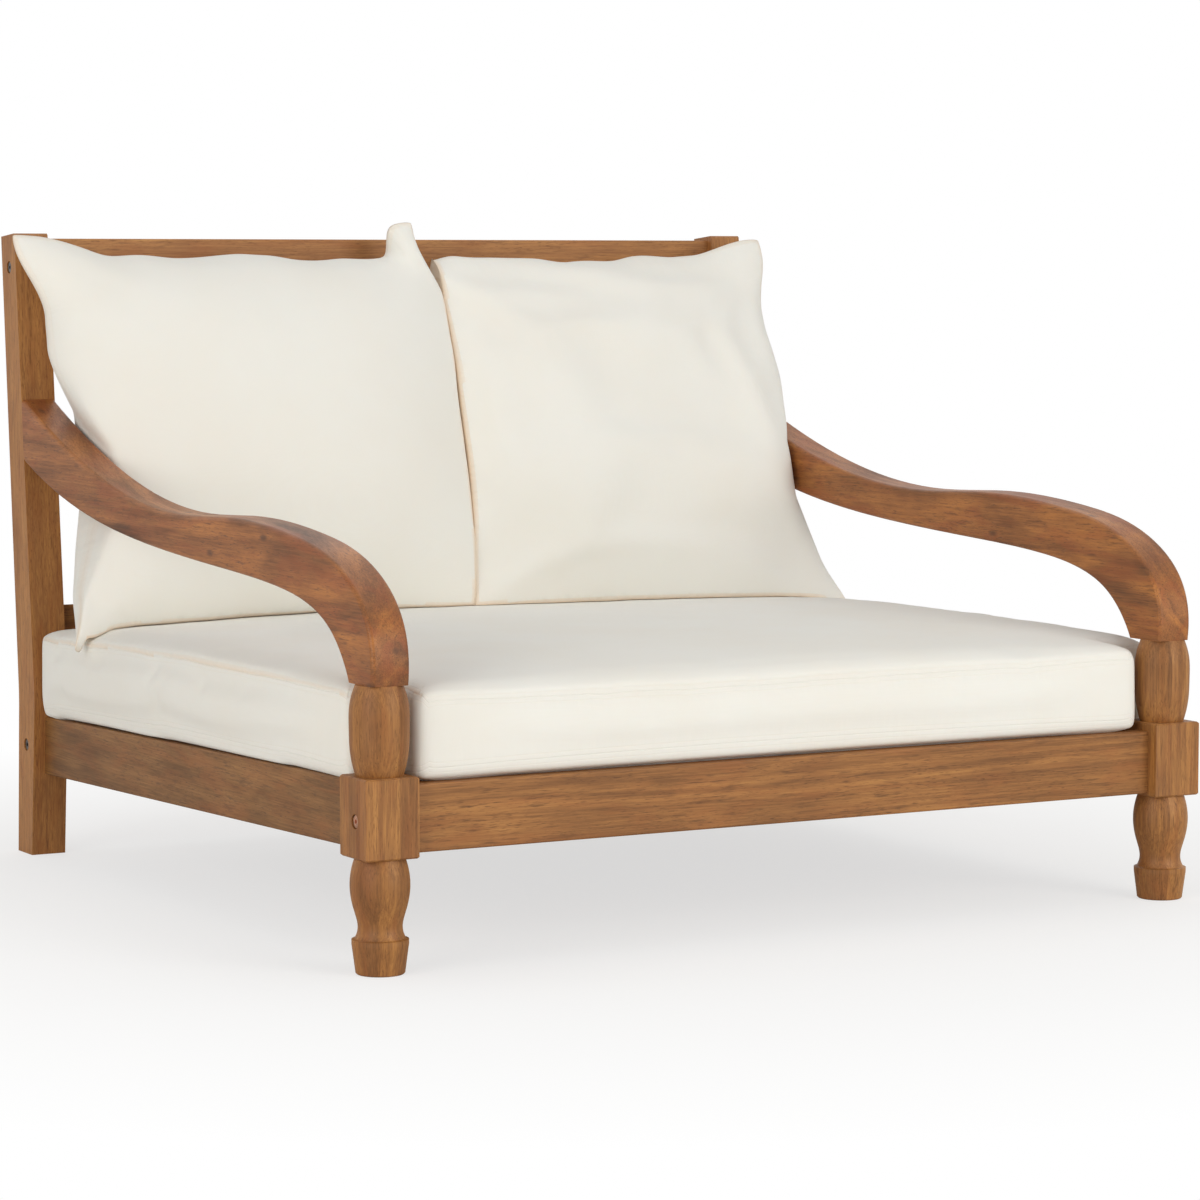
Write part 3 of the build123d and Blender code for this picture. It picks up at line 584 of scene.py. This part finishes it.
@dataclass
class SeatCushion:
    """The sewn seat cushion: a tongue between the legs and two wings under the arms."""

    cell: float = 0.010
    top_seam_drop: float = 0.007
    bottom_seam_rise: float = 0.012
    leg_notch: float = 0.014
    seam_band: float = 0.09
    wave_height: float = 0.0022
    ripple_height: float = 0.0008
    # These gathers also set how strongly warm shade is painted beside each seam.
    side_gather_and_shade: float = 0.85
    front_gather_and_shade: float = 0.16
    plain_gather_and_shade: float = 0.12

    def build(self, cloth: bpy.types.Material) -> bpy.types.Object:
        """Make the cushion from the space that its solid holds.

        Args:
            cloth: The canvas.

        Returns:
            The cushion.
        """
        source = frame["nodes"]["seat_cushion"]
        piece = bpy.data.objects.new("seat_cushion_cover", source.data.copy())
        bpy.context.scene.collection.objects.link(piece)
        remesh = piece.modifiers.new("remesh", "REMESH")
        remesh.mode = "VOXEL"
        remesh.voxel_size = self.cell
        apply_modifier(piece, remesh)
        Filling(pressure=3.0, frames=12, stretch=40.0, reach=0.006).fill(piece)
        subdivide(piece)
        self.shape(piece)
        mark_seams(piece, self.marks(piece))
        smooth_shade(piece)
        dress(piece, cloth)
        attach(piece, "root")
        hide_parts("seat_cushion")
        LOG.info("built %s with %d faces", piece.name, len(piece.data.polygons))
        return piece

    def shape(self, piece: bpy.types.Object) -> None:
        """Lay the top in soft waves."""
        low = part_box("seat_cushion")[0]
        for vertex in piece.data.vertices:
            point = vertex.co
            wave = noise.noise(Vector((point.x * 4.0, point.y * 4.0, point.z * 6.0)))
            ripple = noise.noise(Vector((point.x * 17.0, point.y * 17.0, point.z * 9.0)))
            top = ease((point.z - low.z - 0.03) / 0.05)
            point.z += (wave * self.wave_height + ripple * self.ripple_height) * top

    def marks(self, piece: bpy.types.Object) -> list[tuple[float, float, float]]:
        """Return the seam marks of the points: one seam runs round the top and one round the foot."""
        cover = surface_of(piece)
        outline = CushionOutline.measure(self.leg_notch)
        down = Vector((0.0, 0.0, -1.0))
        marks = []
        for vertex in piece.data.vertices:
            point, normal = vertex.co, vertex.normal
            inset = outline.inset(point)
            if inset > self.seam_band:
                marks.append((self.seam_band, point.x, 0.0))
                continue
            outward = Vector((normal.x, normal.y, 0.0))
            inner = point.copy()
            if outward.length > 0.2:
                inner -= outward.normalized() * max(0.016 - inset, 0.0)
            over = cover.ray_cast(Vector((inner.x, inner.y, 0.7)), down)[0]
            under = cover.ray_cast(Vector((inner.x, inner.y, 0.0)), -down)[0]
            level_top = (over.z if over is not None else point.z) - self.top_seam_drop
            level_foot = (under.z if under is not None else point.z) + self.bottom_seam_rise
            into = max(inset - 0.004, 0.0)
            from_top = point.z - level_top + into
            from_foot = level_foot - point.z + into
            at_side = abs(normal.x) > abs(normal.y) if outward.length > 0.2 else abs(point.x) > 0.5
            run = point.y if at_side else point.x
            if point.z > (level_top + level_foot) / 2:
                gather = self.side_gather_and_shade if at_side else self.front_gather_and_shade
                marks.append((from_top, run, gather if from_top > 0.0 else self.plain_gather_and_shade))
            else:
                marks.append((from_foot, run + 3.0, self.plain_gather_and_shade))
        return marks


@dataclass
class BackPillow:
    """One loose pillow, sewn from two squares of cloth and filled.

    The corners are those of the seam that joins the two squares, as the photograph shows
    them, and the ears are how far the pointed tips of the cover stand out from them.
    """

    side: str
    corners: dict[str, Vector]
    ears: dict[str, Vector]
    cell: float = 0.0066
    quick_cell: float = 0.011
    front_fill: float = 0.098
    back_fill: float = 0.125
    flatness: float = 2.6
    edge_fullness: float = 0.60
    pull_in: float = 0.010
    ear_start: float = 0.66
    ear_end: float = 0.90
    ear_blunting: float = 0.008
    side_bow: float = 0.016
    seam_wave: float = 0.009
    fold_height: float = 0.0085
    fold_length: float = 0.13
    gather_reach: float = 0.10
    bottom_bow: float = 0.068
    split_foot: float = 0.016
    split_lean: float = 0.046
    spread_above: float = 0.60
    spread_below: float = 0.42
    softness: float = 0.018
    contact: float = 0.0005
    crease_width: float = 0.009
    arm_gap: float = 0.0025
    arm_margin: float = 0.005
    seat_level: float = 0.344
    seat_edge: float = 0.02
    # This gather also sets how strongly warm shade is painted beside the seam.
    plain_gather_and_shade: float = 0.4
    calm_rounds: int = 14
    filling: Filling = Filling(pressure=2.2, frames=14, stretch=18.0, shear=5.0, bend=2.0, spare=0.022,
                               reach=0.022)

    def build(self, cloth: bpy.types.Material, seat: bpy.types.Object) -> bpy.types.Object:
        """Sew, fill and settle the pillow.

        Args:
            cloth: The canvas.
            seat: The cushion that the pillow stands on.

        Returns:
            The pillow.
        """
        piece = self.sew()
        self.filling.fill(piece)
        self.calm(piece)
        self.settle(piece, surface_of(seat))
        subdivide(piece)
        smooth_shade(piece)
        dress(piece, cloth)
        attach(piece, f"pillow_{self.side}")
        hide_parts(f"back_pillow_{self.side}")
        LOG.info("built %s with %d faces", piece.name, len(piece.data.polygons))
        return piece

    def sew(self) -> bpy.types.Object:
        """Lay two sheets face to face, sew them along their edges, and return the rough pillow."""
        cell = self.cell
        wide = (self.corners["top_outer"] - self.corners["top_inner"]).length
        tall = (self.corners["top_inner"] - self.corners["bottom_inner"]).length
        shape = bmesh.new()
        for lift in (-1.0, 1.0):
            sheet = bmesh.ops.create_grid(shape, x_segments=round(wide / cell), y_segments=round(tall / cell),
                                          size=1.0)["verts"]
            for vertex in sheet:
                vertex.co.z = lift * (1.0 - vertex.co.x ** 2) * (1.0 - vertex.co.y ** 2)
        bmesh.ops.remove_doubles(shape, verts=shape.verts, dist=0.0001)
        sheets = [vertex.co.copy() for vertex in shape.verts]
        for vertex in shape.verts:
            vertex.co = self.rough_place(vertex.co)
        piece = new_piece(f"pillow_cover_{self.side}", shape)
        seam = piece.vertex_groups.new(name=SEAM_GROUP)
        gather = piece.vertex_groups.new(name=GATHER_GROUP)
        marks = []
        for index, place in enumerate(sheets):
            edge = 1.0 - max(abs(place.x), abs(place.y))
            if edge < 0.001:
                seam.add([index], 1.0, "REPLACE")
            gather.add([index], 1.0 - ease(edge / self.gather_reach), "REPLACE")
            # Counted from the middle of each side, so that it doesn't jump where two sides meet.
            run = min(abs(place.x), abs(place.y)) * min(wide, tall) / 2
            # The gather, and with it the painted seam shade, grows towards the ears.
            near_ear = abs(place.x * place.y) ** 3
            strength = self.plain_gather_and_shade + (1.0 - self.plain_gather_and_shade) * near_ear
            marks.append((edge * min(wide, tall) / 2, run, strength))
        mark_seams(piece, marks)
        return piece

    def seam_place(self, across: float, up: float) -> Vector:
        """Return the point of the seam's own surface at a share of the way out and up."""
        corner = self.corners
        bottom = corner["bottom_inner"].lerp(corner["bottom_outer"], across)
        top = corner["top_inner"].lerp(corner["top_outer"], across)
        return bottom.lerp(top, up)

    def rough_place(self, sheet: Vector) -> Vector:
        """Return where a point of the two unit sheets lies on the rough pillow.

        Args:
            sheet: The point, from -1 to 1 along x, outwards, and along y, up; the sign of z
                tells the front sheet from the back one.

        Returns:
            The point in the frame's own place.
        """
        across, up = sheet.x, sheet.y
        place = self.seam_place((across + 1.0) / 2, (up + 1.0) / 2)
        out = (self.corners["top_outer"] - self.corners["top_inner"]).normalized()
        rise = (self.corners["top_inner"] - self.corners["bottom_inner"]).normalized()
        place -= out * (self.pull_in * (1.0 - up * up) * across ** 3)
        place -= rise * (self.pull_in * (1.0 - across * across) * max(up, 0.0) ** 3)
        place.y += self.bottom_bow * (1.0 - across * across) * max(-up, 0.0) ** 2
        place.y -= self.side_bow * (1.0 - up * up) * max(across, 0.0) ** 2
        for level, row in (("bottom", -1.0), ("top", 1.0)):
            for hand, column in (("inner", -1.0), ("outer", 1.0)):
                share = max(across * column, 0.0) * max(up * row, 0.0)
                tab = ease((share - self.ear_start) / (self.ear_end - self.ear_start))
                place += self.ears[f"{level}_{hand}"] * tab
                place -= (out * column + rise * row).normalized() * (self.ear_blunting * share ** 26.0)
        rim = max(abs(across), abs(up)) ** 8.0
        spot = Vector((across * 5.0, up * 5.0, float(len(self.side)) + 0.5))
        sway = Vector((noise.noise(spot), 0.0, noise.noise(spot + Vector((7.3, 3.1, 0.0)))))
        place += sway * (self.seam_wave * rim)
        swell = max((1.0 - abs(across) ** self.flatness) * (1.0 - abs(up) ** self.flatness), 0.0)
        swell = swell ** self.edge_fullness
        toward_back = rise.cross(out)
        if toward_back.y < 0.0:
            toward_back.negate()
        deep = -self.front_fill if sheet.z > 0.0 else self.back_fill
        lump = 1.0 + 0.10 * noise.noise(Vector((across * 1.7, up * 1.7, deep * 40.0)))
        return place + toward_back * (deep * swell * lump + self.fold(sheet))

    def fold(self, sheet: Vector) -> float:
        """Return how far the folds that fan out from the ears lift the cloth at a point of a sheet."""
        lift = 0.0
        for row in (-1.0, 1.0):
            for column in (-1.0, 1.0):
                across = (1.0 - sheet.x * column) * 0.3
                up = (1.0 - sheet.y * row) * 0.3
                reach = math.hypot(across, up)
                if reach < 0.004 or reach > self.fold_length * 2.5:
                    continue
                turn = math.atan2(up, across)
                ear = row * 3.1 + column * 1.7 + len(self.side)
                fan = noise.noise(Vector((turn * 3.6, reach * 5.0, ear)))
                fade = ease(reach / 0.035) * math.exp(-((reach / self.fold_length) ** 2))
                inside = ease(min(across, up) / 0.012)
                lift += fan * fade * inside
        return lift * self.fold_height * (-1.0 if sheet.z > 0.0 else 1.0)

    def calm(self, piece: bpy.types.Object) -> None:
        """Smooth the fine wrinkles of the cloth away, and leave its seam and its broad folds."""
        shape = bmesh.new()
        shape.from_mesh(piece.data)
        marks = shape.verts.layers.float["seam_gap"]
        cloth = [vertex for vertex in shape.verts if vertex[marks] > 0.004]
        for _ in range(self.calm_rounds):
            bmesh.ops.smooth_vert(shape, verts=cloth, factor=0.5, use_axis_x=True, use_axis_y=True,
                                  use_axis_z=True)
        shape.to_mesh(piece.data)
        shape.free()

    def settle(self, piece: bpy.types.Object, seat: BVHTree) -> None:
        """Hold the pillow clear of the seat, the back, the arm and the other pillow."""
        arm = surface_of(frame["nodes"][f"arm_{self.side}"])
        arm_low, arm_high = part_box(f"arm_{self.side}")
        arm_x = (arm_low.x + arm_high.x) / 2
        inner_face = min(abs(arm_low.x), abs(arm_high.x)) - self.arm_gap
        slats = surface_of(frame["nodes"]["back_slat_5"])
        seat_low, seat_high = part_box("seat_cushion")
        outward = -1.0 if self.side == "left" else 1.0
        down = Vector((0.0, 0.0, -1.0))
        gaps = piece.data.attributes["seam_gap"].data
        gathers_and_shade = piece.data.attributes["seam_gather_and_shade"].data
        for vertex in piece.data.vertices:
            point = vertex.co
            reach = point.x * outward
            if reach > inner_face - self.softness * 2.0:
                over = arm.ray_cast(Vector((arm_x, point.y, 1.0)), down)[0]
                under = arm.ray_cast(Vector((arm_x, point.y, 0.0)), -down)[0]
                if over is not None and under is not None:
                    above = max(point.z - over.z - self.arm_margin, 0.0) * self.spread_above
                    below = max(under.z - point.z - self.arm_margin, 0.0) * self.spread_below
                    start = inner_face + above + below - self.softness
                    if reach > start:
                        give = self.softness * (1.0 - math.exp((start - reach) / self.softness))
                        point.x = (start + give) * outward
            back = slats.ray_cast(Vector((0.0, 0.0, point.z)), Vector((0.0, 1.0, 0.0)))[0]
            if back is not None:
                point.y = min(point.y, back.y - self.contact)
            over_seat_x = min(max(point.x, seat_low.x + self.seat_edge), seat_high.x - self.seat_edge)
            ground = seat.ray_cast(Vector((over_seat_x, point.y, 0.6)), down)[0]
            touch = 1.0
            if ground is not None and abs(point.x) < seat_high.x + 0.001:
                touch = point.z - ground.z - self.contact
                point.z = max(point.z, ground.z + self.contact)
            split = self.split_foot + self.split_lean * (point.z - self.seat_level)
            split += outward * self.contact / 2
            beside = (point.x - split) * outward
            if beside < 0.0:
                point.x = split
            # Where the pillow touches the seat or the other pillow, the point is marked as if it lay on a
            # seam with full gather, so that the canvas paints warm shade along that contact line.
            touch = max(min(touch, beside), 0.0)
            if touch < min(self.crease_width, gaps[vertex.index].value):
                gaps[vertex.index].value = touch
                gathers_and_shade[vertex.index].value = 1.0


@dataclass
class Studio:
    """The pale floor, the soft light and the camera."""

    camera_place: tuple[float, float, float] = (-2.5918, -4.7133, 0.8393)
    yaw: float = 29.189
    pitch: float = 4.911
    lens: float = 117.95
    floor_radius: float = 14.0

    def build(self) -> None:
        """Make the floor, the lamps, the world and the camera."""
        self.make_floor()
        self.make_world()
        self.make_lamp("key", Vector((1.5, -4.3, 1.6)), 2.6, 80.0, "FFFDF8")
        self.make_lamp("fill", Vector((-3.9, -2.0, 1.4)), 2.6, 66.0, "FFFBF4")
        self.make_lamp("top", Vector((0.4, 0.2, 3.4)), 3.0, 17.0, "FFFFFF")
        self.make_lamp("rear", Vector((0.6, 4.4, 1.9)), 2.6, 30.0, "FFFDF8")
        self.make_camera()
        LOG.info("built the studio")

    def make_floor(self) -> None:
        """Make a round floor that is white to the camera except under the loveseat."""
        shape = bmesh.new()
        bmesh.ops.create_circle(shape, cap_ends=True, radius=self.floor_radius, segments=96)
        bmesh.ops.translate(shape, verts=shape.verts, vec=(0.0, 0.0, FLOOR_Z - 0.0005))
        floor = new_piece("studio_floor", shape, smooth=False)
        material = bpy.data.materials.new("studio_floor")
        material.use_nodes = True
        tree = material.node_tree
        tree.nodes.clear()
        n = Nodes(tree)
        place = n.add("TexCoord").outputs["Object"]
        reach = n.add("VectorMath", {"operation": "LENGTH"}, in0=place).outputs["Value"]
        seen = n.add("LightPath").outputs["Is Camera Ray"]
        white = n.add("Emission", None, Color=(1.0, 1.0, 1.0, 1.0), Strength=1.0).outputs[0]
        matt = n.add("BsdfDiffuse", None, Color=linear("F4F3F1")).outputs[0]
        far = n.span(reach, 0.8, 1.7, 0.66, 1.0)
        factor = n.math("MULTIPLY", seen, far)
        mixed = n.add("MixShader", None, in0=factor, in1=matt, in2=white).outputs[0]
        n.add("OutputMaterial", None, Surface=mixed)
        dress(floor, material)

    def make_world(self) -> None:
        """Light the object evenly and show white to the camera and in reflections."""
        world = bpy.data.worlds.new("studio_world")
        bpy.context.scene.world = world
        world.use_nodes = True
        tree = world.node_tree
        tree.nodes.clear()
        n = Nodes(tree)
        path = n.add("LightPath").outputs
        seen = n.math("MAXIMUM", path["Is Camera Ray"], path["Is Glossy Ray"])
        seen = n.math("MAXIMUM", seen, path["Is Transmission Ray"])
        ambient = n.add("Background", None, Color=linear("FFFFFF"), Strength=0.42).outputs[0]
        white = n.add("Background", None, Color=(1.0, 1.0, 1.0, 1.0), Strength=1.0).outputs[0]
        mixed = n.add("MixShader", None, in0=seen, in1=ambient, in2=white).outputs[0]
        n.add("OutputWorld", None, Surface=mixed)

    def make_lamp(self, name: str, place: Vector, size: float, power: float, colour: str) -> None:
        """Hang one square lamp that faces the middle of the seat."""
        lamp = bpy.data.lights.new(name, "AREA")
        lamp.shape = "SQUARE"
        lamp.size = size
        lamp.energy = power
        lamp.color = linear(colour)[:3]
        holder = bpy.data.objects.new(name, lamp)
        holder.location = place
        holder.rotation_euler = (Vector((0.0, 0.0, 0.4)) - place).to_track_quat("-Z", "Y").to_euler()
        bpy.context.scene.collection.objects.link(holder)

    def make_camera(self) -> None:
        """Place the camera where the photograph was taken from."""
        camera = bpy.data.cameras.new("camera")
        camera.lens = self.lens
        camera.sensor_width = 36.0
        camera.clip_end = 60.0
        holder = bpy.data.objects.new("camera", camera)
        holder.location = self.camera_place
        holder.rotation_euler = (math.radians(90.0 - self.pitch), 0.0, -math.radians(self.yaw))
        bpy.context.scene.collection.objects.link(holder)
        bpy.context.scene.camera = holder


def main() -> None:
    """Build the studio, dress the frame and make the soft pieces."""
    logging.basicConfig(level=logging.INFO, format="%(name)s: %(message)s")
    bpy.context.scene.view_settings.view_transform = "Standard"
    Studio().build()
    WoodenFrame().dress(frame["nodes"])
    canvas = ClothFinish().material("cushion_canvas")
    seat = SeatCushion().build(canvas)
    left_corners = {
        "top_outer": Vector((-0.586, 0.508, 0.856)),
        "top_inner": Vector((0.060, 0.503, 0.858)),
        "bottom_inner": Vector((0.068, 0.324, 0.302)),
        "bottom_outer": Vector((-0.622, 0.322, 0.312)),
    }
    left_ears = {
        "top_outer": Vector((-0.038, -0.006, 0.024)),
        "top_inner": Vector((-0.062, -0.014, 0.042)),
        "bottom_inner": Vector((0.0, 0.0, 0.0)),
        "bottom_outer": Vector((-0.004, -0.026, -0.004)),
    }
    right_corners = {
        "top_outer": Vector((0.583, 0.503, 0.856)),
        "top_inner": Vector((-0.020, 0.508, 0.850)),
        "bottom_inner": Vector((-0.030, 0.324, 0.302)),
        "bottom_outer": Vector((0.596, 0.250, 0.306)),
    }
    right_ears = {
        "top_outer": Vector((0.022, -0.006, 0.020)),
        "top_inner": Vector((0.0, 0.0, 0.0)),
        "bottom_inner": Vector((0.0, 0.0, 0.0)),
        "bottom_outer": Vector((0.012, -0.020, 0.0)),
    }
    BackPillow("left", left_corners, left_ears).build(canvas, seat)
    BackPillow("right", right_corners, right_ears).build(canvas, seat)


if __name__ == "__main__":
    main()
